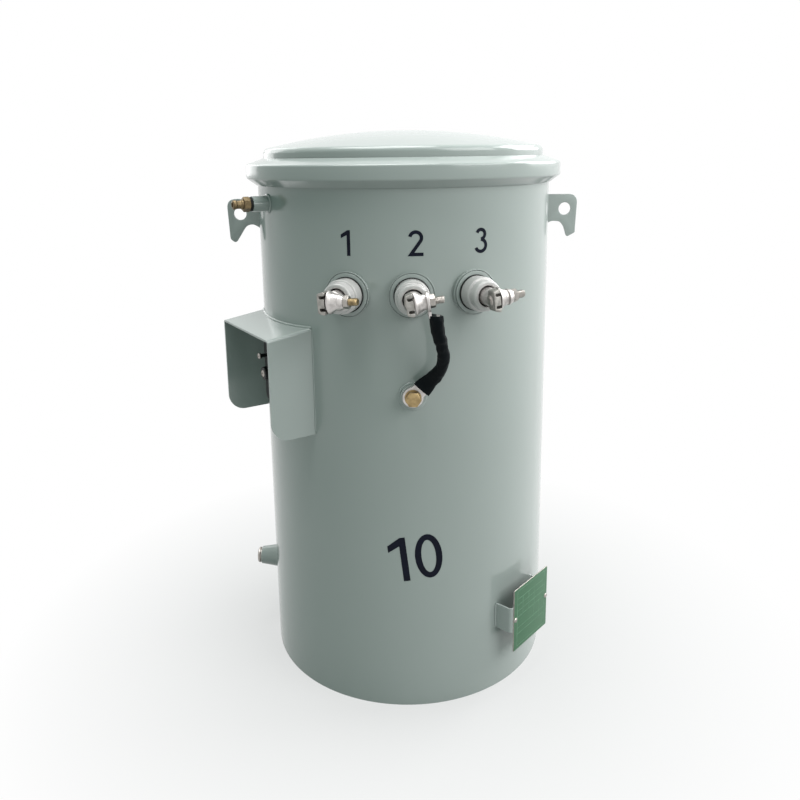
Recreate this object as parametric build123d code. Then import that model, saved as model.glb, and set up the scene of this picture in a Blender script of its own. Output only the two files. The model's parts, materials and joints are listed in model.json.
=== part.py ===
from build123d import *
import math
import os

# A single-phase pole-mounted transformer, in millimetres.
# The tank's axis is Z, the low-voltage bushings face -Y and the pole is on the +Y side.
# The tank stands on its bottom rim at Z = 0.
# Azimuths are degrees from the front, positive towards +X.

# Fits shared by all pieces
weld_gap = 0.1
seat_gap = 0.2
overrun = 30.0

# Tank shell
tank_radius = 205.0
tank_wall_thickness = 3.0
tank_height = 709.5
tank_rim_overhang = 9.0
tank_rim_thickness = 7.4
bottom_recess = 12.0
bottom_thickness = 4.0
bottom_skirt = 8.0

# Cover, its gasket and the clamping band
cover_gasket_thickness = 6.5
cover_gasket_inset = 1.5
cover_sheet = 2.5
cover_inset = 9.5
cover_rim_thickness = 5.0
cover_side_height = 21.0
cover_crown_rise = 24.0
cover_edge_rounding = 7.0
band_reach = 6.0
band_face_height = 18.0
band_upper_rise = 8.0
band_lower_drop = 9.5
band_upper_clearance = 1.5
band_lower_clearance = 2.0
band_sheet = 2.0
band_bend_radius = 8.0
band_opening = 14.0
band_ear_reach = 24.0
band_ear_height = 22.0
band_ear_thickness = 6.0
band_bolt_radius = 5.0
band_bolt_tail = 12.0
band_hex_flats = 17.0
band_hex_height = 7.0

# Core and coil, sealed inside the tank
core_width = 300.0
core_depth = 110.0
core_height = 380.0
coil_width = 230.0
coil_depth = 210.0
coil_height = 260.0
coil_rounding = 40.0

# Lifting lugs
lug_drop = 35.5
lug_reach = 47.2
lug_tip_reach = 44.7
lug_depth = 61.0
lug_thickness = 6.0
lug_corner = 11.5
lug_tip_rounding = 5.5
lug_hole_radius = 9.0
lug_hole_reach = 29.0
lug_hole_drop = 21.0
lug_hook_radius = 17.0
lug_hook_reach = 10.5
lug_hook_drop = 56.0
lug_hook_lean = 33.0

# Low-voltage bushings, named as seen from the front
bushing_names = ("left", "middle", "right")
bushing_azimuths = (-22.0, 0.0, 22.0)
bushing_drop = 142.5
boss_radius = 29.0
boss_height = 5.0
boss_edge = 1.5
bushing_gasket_radius = 23.6
bushing_gasket_thickness = 2.0
porcelain_base_radius = 22.7
porcelain_base_length = 16.0
porcelain_barrel_radius = 19.5
porcelain_length = 28.5
porcelain_shoulder = 3.0
porcelain_recess_radius = 12.8
porcelain_recess_depth = 8.0
porcelain_neck_radius = 17.0
porcelain_neck_length = 12.0
stud_radius = 11.0
stud_reach = 9.0
stud_tail = 10.0

# Terminal clamps at the ends of the studs, turned a little about each stud
clamp_rolls = (4.0, 8.0, 6.0)
jaw_thickness = 6.0
jaw_height = 28.0
jaw_length = 22.0
jaw_offset = 2.5
jaw_rounding = 3.0
clamp_gap = 3.0
keeper_depth = 13.5
keeper_shoulder = 9.0
keeper_rounding = 4.0
keeper_slot_depth = 9.0
clamp_bolt_radius = 4.0
clamp_bolt_head_radius = 7.5
clamp_bolt_head_height = 3.0
clamp_bolt_tail = 10.0
clamp_shank = 10.5
clamp_nut_flats = 13.0
clamp_nut_height = 6.5
clamp_collar_radius = 9.0
clamp_collar_length = 5.5

# Bonding strap from the middle terminal to the tank
strap_radius = 7.5
strap_lug_thickness = 3.5
strap_lug_radius = 12.5
ground_lug_radius = 14.0
strap_barrel_radius = 6.0
strap_upper_barrel = 6.3
strap_lower_barrel = 2.3
strap_lower_turn = 42.0
strap_lead = 14.0
strap_across = (33.0, 36.5, 31.0)
strap_standoffs = (43.5, 34.0, 20.0)
strap_drops = (54.0, 73.0, 92.0)
strap_arc_share = 0.45
ground_drop = 127.0
ground_pad_radius = 15.5
ground_pad_height = 5.0
ground_bolt_radius = 6.0
ground_bolt_flats = 19.0
ground_bolt_head = 8.0
ground_washer_radius = 11.5
ground_washer_thickness = 2.0

# Nameplate and the bracket that holds it off the tank
nameplate_azimuth = 47.0
nameplate_middle = 107.6
nameplate_width = 86.5
nameplate_height = 92.5
nameplate_thickness = 1.5
nameplate_standoff = 20.0
bracket_width = 95.5
bracket_height = 36.0
bracket_rise = 2.0
bracket_sheet = 2.5
bracket_bend_radius = 2.5

# Hood over the tap changer
hood_azimuth = -60.0
hood_width = 156.0
hood_reach = 45.0
hood_drop = 192.5
hood_slope = 6.5
hood_height = 140.0
hood_sheet = 2.5
hood_bend_radius = 3.5
hood_corner = 24.0

# Tap changer on the tank wall, under the hood
changer_drop = 70.0
changer_width = 44.0
changer_height = 84.0
changer_thickness = 10.0
changer_corner = 8.0
changer_knob_radius = 9.0
changer_knob_length = 12.0
changer_knob_rounding = 2.0
changer_pin_rise = 25.0
changer_pin_radius = 2.5
changer_pin_length = 14.0
changer_pin_head_radius = 4.0
changer_pin_head = 3.0

# Pressure relief valve
relief_azimuth = -62.4
relief_drop = 37.0
relief_coupling_radius = 10.0
relief_coupling_length = 22.0
relief_seal_radius = 9.2
relief_seal_thickness = 3.0
relief_hex_flats = 17.0
relief_hex_height = 11.0
relief_stem_radius = 5.5
relief_stem_length = 18.0
relief_stem_edge = 1.0
relief_bore_radius = 6.5

# Drain
drain_azimuth = -96.0
drain_height = 104.0
drain_coupling_radius = 13.5
drain_coupling_flare = 5.0
drain_coupling_length = 29.0
drain_bore_radius = 9.0
drain_plug_radius = 12.0
drain_plug_head = 6.0
drain_plug_rounding = 3.5
drain_plug_depth = 16.0

# Pole hangers on the back, with slots for the pole bolts
hanger_azimuth = 180.0
hanger_spacing = 285.75
hanger_drop = 279.5
hanger_reach = 48.0
hanger_width = 96.0
hanger_height = 70.0
hanger_sheet = 6.0
hanger_bend_radius = 6.0
slot_radius = 9.0
slot_length = 34.0

# Worked out from the sizes above
tank_bore = tank_radius - tank_wall_thickness
tank_rim_radius = tank_radius + tank_rim_overhang
cover_radius = tank_radius - cover_inset
cover_base = tank_height + cover_gasket_thickness
cover_rim_top = cover_base + cover_rim_thickness
cover_shoulder = cover_rim_top + cover_side_height
band_radius = tank_rim_radius + band_reach
band_middle = tank_height + cover_gasket_thickness / 2
lug_top = tank_height - lug_drop
bushing_height = tank_height - bushing_drop
boss_face = tank_radius + boss_height
porcelain_seat = boss_face + bushing_gasket_thickness
porcelain_front = porcelain_seat + porcelain_length
bushing_hole_radius = porcelain_neck_radius + seat_gap
clamp_reach = porcelain_front + stud_reach + jaw_length / 2
keeper_face = clamp_gap - jaw_offset
keeper_back = keeper_face + keeper_depth
ground_height = bushing_height - ground_drop
ground_face = tank_radius + ground_pad_height
upper_barrel_start = strap_lug_radius + seat_gap
lower_barrel_start = ground_washer_radius + seat_gap
upper_lug_drop = upper_barrel_start + strap_upper_barrel
lower_lug_drop = lower_barrel_start + strap_lower_barrel
nameplate_seat = tank_radius + nameplate_standoff
hood_top = tank_height - hood_drop
hood_bottom = hood_top - hood_height
changer_middle = hood_top - changer_drop
relief_height = tank_height - relief_drop
hanger_middle = tank_height - hanger_drop


def outward(azimuth, height, reach=0.0):
    """A frame at a reach from the tank's axis: Z points outward, X to the right seen from outside, Y up."""
    turn = math.radians(azimuth)
    away = Vector(math.sin(turn), -math.cos(turn), 0)
    across = Vector(math.cos(turn), math.sin(turn), 0)
    return Plane(origin=away * reach + Vector(0, 0, height), x_dir=across, z_dir=away)


def clear_of_tank(solid):
    """Shapes the side that is welded to the tank wall."""
    return solid - Pos(0, 0, tank_height / 2) * Cylinder(tank_radius + weld_gap, tank_height + 2 * overrun)


def rod(radius, start, end):
    """A round bar along Z from start to end."""
    return Pos(0, 0, start) * Cylinder(radius, end - start, align=(Align.CENTER, Align.CENTER, Align.MIN))


def hex_bar(flats, start, end):
    """A hexagonal bar along Z from start to end."""
    outline = RegularPolygon(flats / 2, side_count=6, major_radius=False)
    return Pos(0, 0, start) * extrude(outline, end - start)


def bent_sheet(points, sheet, bend_radius, height):
    """A bent sheet of the given height: points follow its inner face, with the sheet on their left."""
    inner_face = FilletPolyline(*points, radius=bend_radius)
    section = make_face(offset(inner_face, amount=sheet, side=Side.LEFT))
    return extrude(section, height / 2, both=True)


def tank_wall():
    shell = rod(tank_radius, 0, tank_height - tank_rim_thickness)
    shell -= rod(tank_bore, -overrun, tank_height)
    holes = [outward(azimuth, bushing_height) * rod(bushing_hole_radius, 0, tank_radius + overrun)
             for azimuth in bushing_azimuths]
    holes.append(outward(relief_azimuth, relief_height) * rod(relief_bore_radius, 0, tank_radius + overrun))
    holes.append(outward(drain_azimuth, drain_height) * rod(drain_bore_radius, 0, tank_radius + overrun))
    return shell - holes


def tank_rim():
    ring = rod(tank_rim_radius, tank_height - tank_rim_thickness, tank_height)
    return ring - rod(tank_bore, 0, cover_base)


def tank_bottom():
    radius = tank_bore - weld_gap
    top = bottom_recess + bottom_thickness
    dish = rod(radius, bottom_recess - bottom_skirt, top)
    return dish - rod(radius - bottom_thickness, 0, bottom_recess)


def core_and_coil():
    floor = bottom_recess + bottom_thickness
    core = Pos(0, 0, floor + core_height / 2) * Box(core_width, core_depth, core_height)
    coil = Box(coil_width, coil_depth, coil_height)
    coil = fillet(coil.edges().filter_by(Axis.Z), coil_rounding)
    return core + Pos(0, 0, floor + core_height / 2) * coil


def cover_gasket():
    ring = rod(tank_rim_radius - cover_gasket_inset, tank_height, cover_base)
    return ring - rod(tank_bore, 0, cover_base + overrun)


def domed_plug(radius, base, shoulder, rise, rounding):
    """A round plug with a crowned top and a rounded edge."""
    side = Line((0, base), (radius, base)) + Line((radius, base), (radius, shoulder))
    crown_radius = (radius ** 2 + rise ** 2) / (2 * rise)
    half_turn = math.asin(radius / crown_radius) / 2
    fall = crown_radius * (1 - math.cos(half_turn))
    halfway = (crown_radius * math.sin(half_turn), shoulder + rise - fall)
    crown = ThreePointArc((radius, shoulder), halfway, (0, shoulder + rise))
    outline = make_face(side + crown + Line((0, shoulder + rise), (0, base)))
    edge = outline.vertices().group_by(Axis.X)[-1].sort_by(Axis.Y)[-1]
    return revolve(Plane.XZ * fillet(edge, rounding), Axis.Z)


def tank_cover():
    outer = domed_plug(cover_radius, cover_base, cover_shoulder, cover_crown_rise, cover_edge_rounding)
    inner = domed_plug(cover_radius - cover_sheet, cover_base, cover_shoulder - cover_sheet,
                       cover_crown_rise, cover_edge_rounding - cover_sheet)
    rim = rod(tank_rim_radius, cover_base, cover_rim_top)
    return outer + rim - inner


def band_section():
    """The band's outline, from its upper lip over the vertical face to its lower lip."""
    half = band_face_height / 2
    upper_lip = (cover_radius + band_upper_clearance, band_middle + half + band_upper_rise)
    lower_lip = (tank_radius + band_lower_clearance, band_middle - half - band_lower_drop)
    corners = ((band_radius, band_middle + half), (band_radius, band_middle - half))
    outer_face = FilletPolyline(upper_lip, *corners, lower_lip, radius=band_bend_radius)
    return make_face(Plane.XZ * offset(outer_face, amount=band_sheet, side=Side.RIGHT))


def band_bolt_frame():
    """The frame of the bolt that closes the band: Z along the bolt, across the band's opening."""
    middle = (0, band_radius + band_ear_reach / 2, band_middle)
    return Plane(origin=middle, x_dir=(0, 1, 0), z_dir=(1, 0, 0))


def cover_band():
    ring = revolve(band_section(), Axis.Z)
    gap = Pos(0, band_radius, band_middle) * Box(band_opening, 2 * overrun, 4 * band_face_height)
    ears = ring - gap
    for side in (-1, 1):
        ear_middle = side * (band_opening + band_ear_thickness) / 2
        reach = band_ear_reach + band_sheet
        ear = Box(band_ear_thickness, reach, band_ear_height)
        ears += Pos(ear_middle, band_radius - band_sheet + reach / 2, band_middle) * ear
    length = band_opening + 2 * band_ear_thickness + overrun
    return ears - band_bolt_frame() * Cylinder(band_bolt_radius + seat_gap, length)


def cover_band_bolt():
    half = band_opening / 2 + band_ear_thickness
    shank = rod(band_bolt_radius, -half, half + band_hex_height + band_bolt_tail)
    head = hex_bar(band_hex_flats, -half - band_hex_height, -half)
    nut = hex_bar(band_hex_flats, half, half + band_hex_height)
    return band_bolt_frame() * (shank + head + nut)


def lifting_lug(side):
    """A hooked plate with a shackle hole, on the left (-1) or the right (1)."""
    corners = ((0, 0), (lug_reach, 0), (lug_tip_reach, -lug_depth), (0, -lug_depth))
    plate = make_face(Polyline(*corners, close=True))
    outer_corner = plate.vertices().sort_by(Axis.X)[-1]
    plate = fillet(outer_corner, lug_corner)
    plate -= Pos(lug_hole_reach, -lug_hole_drop) * Circle(lug_hole_radius)
    plate -= Pos(lug_hook_reach, -lug_hook_drop) * Circle(lug_hook_radius)
    lean = math.radians(lug_hook_lean)
    leave_reach = lug_hook_reach + lug_hook_radius * math.cos(lean)
    leave_drop = lug_hook_drop - lug_hook_radius * math.sin(lean)
    tip_inside = leave_reach + (lug_depth - leave_drop) * math.tan(lean)
    hook_back = lug_hook_reach - lug_hook_radius
    upper = ((leave_reach, -leave_drop), (hook_back, -lug_hook_drop))
    lower = ((hook_back, -lug_depth), (tip_inside, -lug_depth))
    plate -= make_face(Polyline(*lower, *upper, close=True))
    plate = fillet(plate.vertices().group_by(Axis.Y)[0], lug_tip_rounding)
    root = Pos(-overrun / 2, -lug_hole_drop) * Rectangle(overrun, 2 * lug_hole_drop)
    solid = extrude(plate + root, lug_thickness / 2, both=True)
    frame = Plane(origin=(tank_radius, 0, lug_top), x_dir=(1, 0, 0), z_dir=(0, -1, 0))
    right = clear_of_tank(frame * solid)
    return right if side > 0 else mirror(right, about=Plane.YZ)


def bushing_boss(azimuth):
    pad = rod(boss_radius, tank_radius - overrun, boss_face)
    pad = chamfer(pad.edges().group_by(Axis.Z)[-1], boss_edge)
    pad -= rod(bushing_hole_radius, 0, boss_face + overrun)
    return clear_of_tank(outward(azimuth, bushing_height) * pad)


def bushing_gasket(azimuth):
    ring = rod(bushing_gasket_radius, boss_face, porcelain_seat)
    ring -= rod(bushing_hole_radius, 0, porcelain_front)
    return outward(azimuth, bushing_height) * ring


def bushing_porcelain(azimuth):
    step = porcelain_seat + porcelain_base_length
    base = rod(porcelain_base_radius, porcelain_seat, step)
    base = fillet(base.edges().group_by(Axis.Z)[-1], porcelain_shoulder)
    barrel = rod(porcelain_barrel_radius, porcelain_seat, porcelain_front)
    barrel = fillet(barrel.edges().group_by(Axis.Z)[-1], porcelain_shoulder)
    neck = rod(porcelain_neck_radius, tank_bore - porcelain_neck_length, porcelain_seat)
    body = base + barrel + neck - rod(stud_radius + seat_gap, 0, porcelain_front + overrun)
    body -= rod(porcelain_recess_radius, porcelain_front - porcelain_recess_depth, porcelain_front + overrun)
    return outward(azimuth, bushing_height) * body


def clamp_frame(azimuth, roll):
    """The frame of a terminal clamp: X along its bolt, Z outward along the stud."""
    return outward(azimuth, bushing_height) * Rot(0, 0, roll)


def bolt_axis(azimuth, roll):
    """The frame of a clamp's bolt: Z along the bolt, X outward along the stud."""
    return clamp_frame(azimuth, roll) * Pos(0, 0, clamp_reach) * Rot(0, 90, 0)


def terminal_stud(azimuth, roll):
    stem = rod(stud_radius, tank_bore - porcelain_neck_length - stud_tail, porcelain_front + stud_reach)
    jaw = Box(jaw_thickness, jaw_height, jaw_length)
    jaw = fillet(jaw.edges().filter_by(Axis.X), jaw_rounding)
    jaw = Pos(-jaw_offset - jaw_thickness / 2, 0, clamp_reach) * jaw
    stud = clamp_frame(azimuth, roll) * (stem + jaw)
    return stud - bolt_axis(azimuth, roll) * rod(clamp_bolt_radius + seat_gap, -overrun, overrun)


def terminal_keeper(azimuth, roll):
    half = jaw_height / 2
    shoulder = keeper_back - keeper_shoulder
    upper = ((keeper_back, half - keeper_shoulder), (shoulder, half), (keeper_face, half))
    lower = ((keeper_face, -half), (shoulder, -half), (keeper_back, -half + keeper_shoulder))
    outline = make_face(Polyline(*lower, *upper, close=True))
    outline = fillet(outline.vertices().group_by(Axis.X)[1:], keeper_rounding)
    slot_width = clamp_shank + 2 * seat_gap
    outline -= Pos(keeper_face, 0) * Rectangle(2 * keeper_slot_depth, slot_width)
    keeper = Pos(0, 0, clamp_reach) * extrude(outline, jaw_length / 2, both=True)
    keeper = clamp_frame(azimuth, roll) * keeper
    return keeper - bolt_axis(azimuth, roll) * rod(clamp_bolt_radius + seat_gap, -overrun, overrun)


def terminal_bolt(azimuth, roll, collar_radius, stack):
    """A bolt through both jaws, with its nut held off the keeper by a collar or by the strap's lug."""
    head_seat = -jaw_offset - jaw_thickness
    nut_start = keeper_back + stack
    nut_end = nut_start + clamp_nut_height
    bolt = rod(clamp_bolt_radius, head_seat, nut_end + clamp_bolt_tail)
    bolt += rod(clamp_bolt_head_radius, head_seat - clamp_bolt_head_height, head_seat)
    shank_length = clamp_gap + keeper_slot_depth - 2 * seat_gap
    shank = Box(clamp_shank, clamp_shank, shank_length)
    bolt += Pos(0, 0, -jaw_offset + seat_gap + shank_length / 2) * shank
    bolt += hex_bar(clamp_nut_flats, nut_start, nut_end)
    if collar_radius:
        bolt += rod(collar_radius, keeper_back, nut_start)
    return bolt_axis(azimuth, roll) * bolt


def lug_palm(radius, drop):
    """A cable lug lying in the XY plane: a round palm at the origin and a stub that points along -Y."""
    palm = Circle(radius) + Pos(0, -drop / 2) * Rectangle(2 * strap_barrel_radius, drop)
    return extrude(palm, strap_lug_thickness)


def strap_upper_frame():
    """The upper lug's frame: its back lies on the keeper, with the bolt along Z and the stub along -Y."""
    return clamp_frame(0.0, clamp_rolls[1]) * Pos(keeper_back, 0, clamp_reach) * Rot(0, 90, 0)


def strap_lower_frame():
    """The lower lug's frame: its back lies on the ground pad, and its stub points up and to the right."""
    return outward(0.0, ground_height, ground_face) * Rot(0, 0, 180 - strap_lower_turn)


def bonding_lug(radius, barrel_start, drop, hole_radius):
    """A lug with a bolt hole and a crimped barrel that the strap starts from."""
    lug = lug_palm(radius, drop) - rod(hole_radius, -overrun, overrun)
    return lug + Pos(0, 0, strap_radius) * Rot(90, 0, 0) * rod(strap_barrel_radius, barrel_start, drop)


def bonding_lug_upper():
    hole_radius = clamp_bolt_radius + seat_gap
    lug = bonding_lug(strap_lug_radius, upper_barrel_start, upper_lug_drop, hole_radius)
    return strap_upper_frame() * lug


def bonding_lug_lower():
    lug = bonding_lug(ground_lug_radius, lower_barrel_start, lower_lug_drop, ground_bolt_radius)
    return strap_lower_frame() * lug


def strap_route():
    """The strap's corner points, from the upper lug's barrel to the lower one's."""
    upper = strap_upper_frame()
    lower = strap_lower_frame()
    upper_end = [upper * Pos(0, -upper_lug_drop - along, strap_radius) for along in (0, strap_lead)]
    lower_end = [lower * Pos(0, -lower_lug_drop - along, strap_radius) for along in (strap_lead, 0)]
    points = [place.position for place in upper_end]
    for across, standoff, drop in zip(strap_across, strap_standoffs, strap_drops):
        points.append(Vector(across, -tank_radius - standoff, bushing_height - drop))
    return points + [place.position for place in lower_end]


def arc_radii(points):
    """One radius for each corner, as large as its two runs allow."""
    radii = []
    for before, corner, after in zip(points, points[1:], points[2:]):
        turn = math.radians((corner - before).get_angle(after - corner))
        shorter = min((corner - before).length, (after - corner).length)
        radii.append(strap_arc_share * shorter / math.tan(turn / 2))
    return radii


def bonding_strap():
    points = strap_route()
    radii = arc_radii(points)
    print("strap radii", [round(radius) for radius in radii])
    path = FilletPolyline(*points, radius=radii)
    start = Plane(origin=path @ 0, z_dir=path % 0)
    tube = sweep(start * Circle(strap_radius), path=path)
    whole = math.pi * strap_radius ** 2 * path.length
    print("strap length", round(path.length), "volume share", round(tube.volume / whole, 4))
    return tube


def ground_pad():
    pad = rod(ground_pad_radius, tank_radius - overrun, ground_face)
    pad -= rod(ground_bolt_radius, 0, ground_face + overrun)
    return clear_of_tank(outward(0.0, ground_height) * pad)


def ground_bolt():
    washer_seat = ground_face + strap_lug_thickness
    head_seat = washer_seat + ground_washer_thickness
    bolt = rod(ground_bolt_radius - seat_gap, tank_radius + seat_gap, head_seat)
    bolt += rod(ground_washer_radius, washer_seat, head_seat)
    bolt += hex_bar(ground_bolt_flats, head_seat, head_seat + ground_bolt_head)
    return outward(0.0, ground_height) * bolt


def nameplate_bracket():
    half = bracket_width / 2 - bracket_sheet
    web = nameplate_seat - bracket_sheet
    points = ((-half, tank_radius - overrun), (-half, web), (half, web), (half, tank_radius - overrun))
    strap = bent_sheet(points, bracket_sheet, bracket_bend_radius, bracket_height)
    frame = outward(nameplate_azimuth, nameplate_middle + bracket_rise)
    lying = Plane(origin=frame.origin, x_dir=frame.x_dir, z_dir=-frame.y_dir)
    return clear_of_tank(lying * strap)


def nameplate():
    plate = Box(nameplate_width, nameplate_height, nameplate_thickness)
    return outward(nameplate_azimuth, nameplate_middle, nameplate_seat + nameplate_thickness / 2) * plate


def hood_block(width, reach, drop, bend_radius, corner):
    """The hood's outer or inner form: a block with a sloping top and two bent upper edges."""
    start = tank_radius - hood_width / 2
    slope_share = hood_slope / hood_reach
    top = hood_top - drop
    inner_top = top + slope_share * (tank_radius - start)
    outer_top = top - slope_share * (reach - tank_radius)
    bottom = hood_bottom if corner else hood_bottom - overrun
    corners = ((start, bottom), (reach, bottom), (reach, outer_top), (start, inner_top))
    side = make_face(Polyline(*corners, close=True))
    if corner:
        outer_corner = side.vertices().group_by(Axis.Y)[0].sort_by(Axis.X)[-1]
        side = fillet(outer_corner, corner)
    block = extrude(side, width / 2, both=True)
    top_face = block.faces().sort_by(Axis.Y)[-1]
    return fillet(top_face.edges().filter_by(Axis.Z, reverse=True), bend_radius)


def tap_changer_hood():
    reach = tank_radius + hood_reach
    outer = hood_block(hood_width, reach, 0.0, hood_bend_radius, hood_corner)
    inner_width = hood_width - 2 * hood_sheet
    inner = hood_block(inner_width, reach + overrun, hood_sheet, hood_bend_radius - hood_sheet, 0.0)
    frame = outward(hood_azimuth, 0.0)
    sideways = Plane(origin=frame.origin, x_dir=frame.z_dir, z_dir=-frame.x_dir)
    return clear_of_tank(sideways * (outer - inner))


def tap_changer_base():
    plate = Rectangle(changer_width, changer_height)
    plate = fillet(plate.vertices(), changer_corner)
    body = Pos(0, 0, tank_radius - overrun) * extrude(plate, overrun + changer_thickness)
    return clear_of_tank(outward(hood_azimuth, changer_middle) * body)


def tap_changer_knob():
    seat = tank_radius + changer_thickness
    knob = rod(changer_knob_radius, seat, seat + changer_knob_length)
    knob = fillet(knob.edges().group_by(Axis.Z)[-1], changer_knob_rounding)
    return outward(hood_azimuth, changer_middle) * knob


def tap_changer_pin():
    seat = tank_radius + changer_thickness
    neck = seat + changer_pin_length
    pin = rod(changer_pin_radius, seat, neck) + rod(changer_pin_head_radius, neck, neck + changer_pin_head)
    return outward(hood_azimuth, changer_middle + changer_pin_rise) * pin


def relief_coupling():
    socket = rod(relief_coupling_radius, tank_radius - overrun, tank_radius + relief_coupling_length)
    socket -= rod(relief_bore_radius, 0, tank_radius + relief_coupling_length + overrun)
    return clear_of_tank(outward(relief_azimuth, relief_height) * socket)


def relief_seal():
    start = tank_radius + relief_coupling_length
    ring = rod(relief_seal_radius, start, start + relief_seal_thickness)
    ring -= rod(relief_bore_radius, 0, start + overrun)
    return outward(relief_azimuth, relief_height) * ring


def relief_valve():
    seat = tank_radius + relief_coupling_length + relief_seal_thickness
    stem_end = seat + relief_hex_height + relief_stem_length
    stem = rod(relief_stem_radius, tank_radius, stem_end)
    stem = chamfer(stem.edges().group_by(Axis.Z)[-1], relief_stem_edge)
    body = stem + hex_bar(relief_hex_flats, seat, seat + relief_hex_height)
    return outward(relief_azimuth, relief_height) * body


def drain_coupling():
    end = tank_radius + drain_coupling_length
    foot = tank_radius - drain_coupling_flare
    foot_radius = drain_coupling_radius + drain_coupling_flare
    cone = Cone(foot_radius, drain_coupling_radius, end - foot)
    socket = Pos(0, 0, (foot + end) / 2) * cone - rod(drain_bore_radius, 0, end + overrun)
    return clear_of_tank(outward(drain_azimuth, drain_height) * socket)


def drain_plug():
    end = tank_radius + drain_coupling_length
    head = rod(drain_plug_radius, end, end + drain_plug_head)
    head = fillet(head.edges().group_by(Axis.Z)[-1], drain_plug_rounding)
    plug = head + rod(drain_bore_radius - seat_gap, end - drain_plug_depth, end)
    return outward(drain_azimuth, drain_height) * plug


def hanger_bracket(height):
    half = hanger_width / 2 - hanger_sheet
    web = tank_radius + hanger_reach - hanger_sheet
    points = ((-half, tank_radius - overrun), (-half, web), (half, web), (half, tank_radius - overrun))
    hanger = bent_sheet(points, hanger_sheet, hanger_bend_radius, hanger_height)
    frame = outward(hanger_azimuth, height)
    lying = Plane(origin=frame.origin, x_dir=frame.x_dir, z_dir=-frame.y_dir)
    slot = SlotOverall(slot_length, 2 * slot_radius, rotation=90)
    slot = extrude(slot, tank_radius + hanger_reach + overrun)
    return clear_of_tank(lying * hanger - frame * slot)


def build_pieces():
    pieces = {
        "tank_wall": tank_wall(),
        "tank_rim": tank_rim(),
        "tank_bottom": tank_bottom(),
        "core_and_coil": core_and_coil(),
        "cover_gasket": cover_gasket(),
        "tank_cover": tank_cover(),
        "cover_band": cover_band(),
        "cover_band_bolt": cover_band_bolt(),
        "lifting_lug_left": lifting_lug(-1),
        "lifting_lug_right": lifting_lug(1),
        "bonding_lug_upper": bonding_lug_upper(),
        "bonding_lug_lower": bonding_lug_lower(),
        "bonding_strap": bonding_strap(),
        "ground_pad": ground_pad(),
        "ground_bolt": ground_bolt(),
        "nameplate_bracket": nameplate_bracket(),
        "nameplate": nameplate(),
        "tap_changer_hood": tap_changer_hood(),
        "tap_changer_base": tap_changer_base(),
        "tap_changer_knob": tap_changer_knob(),
        "tap_changer_pin": tap_changer_pin(),
        "relief_coupling": relief_coupling(),
        "relief_seal": relief_seal(),
        "relief_valve": relief_valve(),
        "drain_coupling": drain_coupling(),
        "drain_plug": drain_plug(),
        "hanger_bracket_upper": hanger_bracket(hanger_middle + hanger_spacing / 2),
        "hanger_bracket_lower": hanger_bracket(hanger_middle - hanger_spacing / 2),
    }
    for name, azimuth, roll in zip(bushing_names, bushing_azimuths, clamp_rolls):
        strapped = name == "middle"
        collar_radius = 0.0 if strapped else clamp_collar_radius
        stack = strap_lug_thickness + seat_gap if strapped else clamp_collar_length
        pieces["bushing_boss_" + name] = bushing_boss(azimuth)
        pieces["bushing_gasket_" + name] = bushing_gasket(azimuth)
        pieces["bushing_porcelain_" + name] = bushing_porcelain(azimuth)
        pieces["terminal_stud_" + name] = terminal_stud(azimuth, roll)
        pieces["terminal_keeper_" + name] = terminal_keeper(azimuth, roll)
        pieces["terminal_bolt_" + name] = terminal_bolt(azimuth, roll, collar_radius, stack)
    return pieces


os.makedirs("parts", exist_ok=True)
for node, piece in build_pieces().items():
    export_step(piece, "parts/" + node + ".step")
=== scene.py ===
"""Looks of a single-phase pole mounted transformer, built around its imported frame."""

import json
import math

import bmesh
import bpy
from mathutils import Matrix, Vector, noise


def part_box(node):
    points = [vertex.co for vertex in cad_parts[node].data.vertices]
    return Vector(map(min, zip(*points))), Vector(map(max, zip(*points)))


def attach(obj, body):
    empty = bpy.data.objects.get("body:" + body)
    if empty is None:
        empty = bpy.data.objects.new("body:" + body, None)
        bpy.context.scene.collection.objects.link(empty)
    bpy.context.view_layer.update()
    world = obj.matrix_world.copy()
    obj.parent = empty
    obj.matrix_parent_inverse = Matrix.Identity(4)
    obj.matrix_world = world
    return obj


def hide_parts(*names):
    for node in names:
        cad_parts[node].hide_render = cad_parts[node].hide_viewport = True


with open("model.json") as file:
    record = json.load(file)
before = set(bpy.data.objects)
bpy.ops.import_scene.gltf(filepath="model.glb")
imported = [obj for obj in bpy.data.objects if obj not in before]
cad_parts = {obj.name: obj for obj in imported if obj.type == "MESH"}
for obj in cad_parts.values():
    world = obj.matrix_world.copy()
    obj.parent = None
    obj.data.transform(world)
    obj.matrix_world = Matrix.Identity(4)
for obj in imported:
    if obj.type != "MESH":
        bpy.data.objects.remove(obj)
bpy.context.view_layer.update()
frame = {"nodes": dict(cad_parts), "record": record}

# The part's lengths are in millimetres, and MM turns them into metres
MM = 0.001

# Main sizes, taken from the frame
tank_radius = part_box("tank_wall")[1].x / MM
band_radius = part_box("cover_band")[1].x / MM

# Camera, as in the photograph: its place in metres, its turns in degrees, lens and sensor in millimetres
camera_place = (-0.04654, -1.11050, 0.73293)
camera_yaw = 2.028
camera_pitch = 12.227
camera_roll = -0.768
camera_lens = 34.386
camera_sensor = 36.0
camera_shift_y = -0.10

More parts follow.
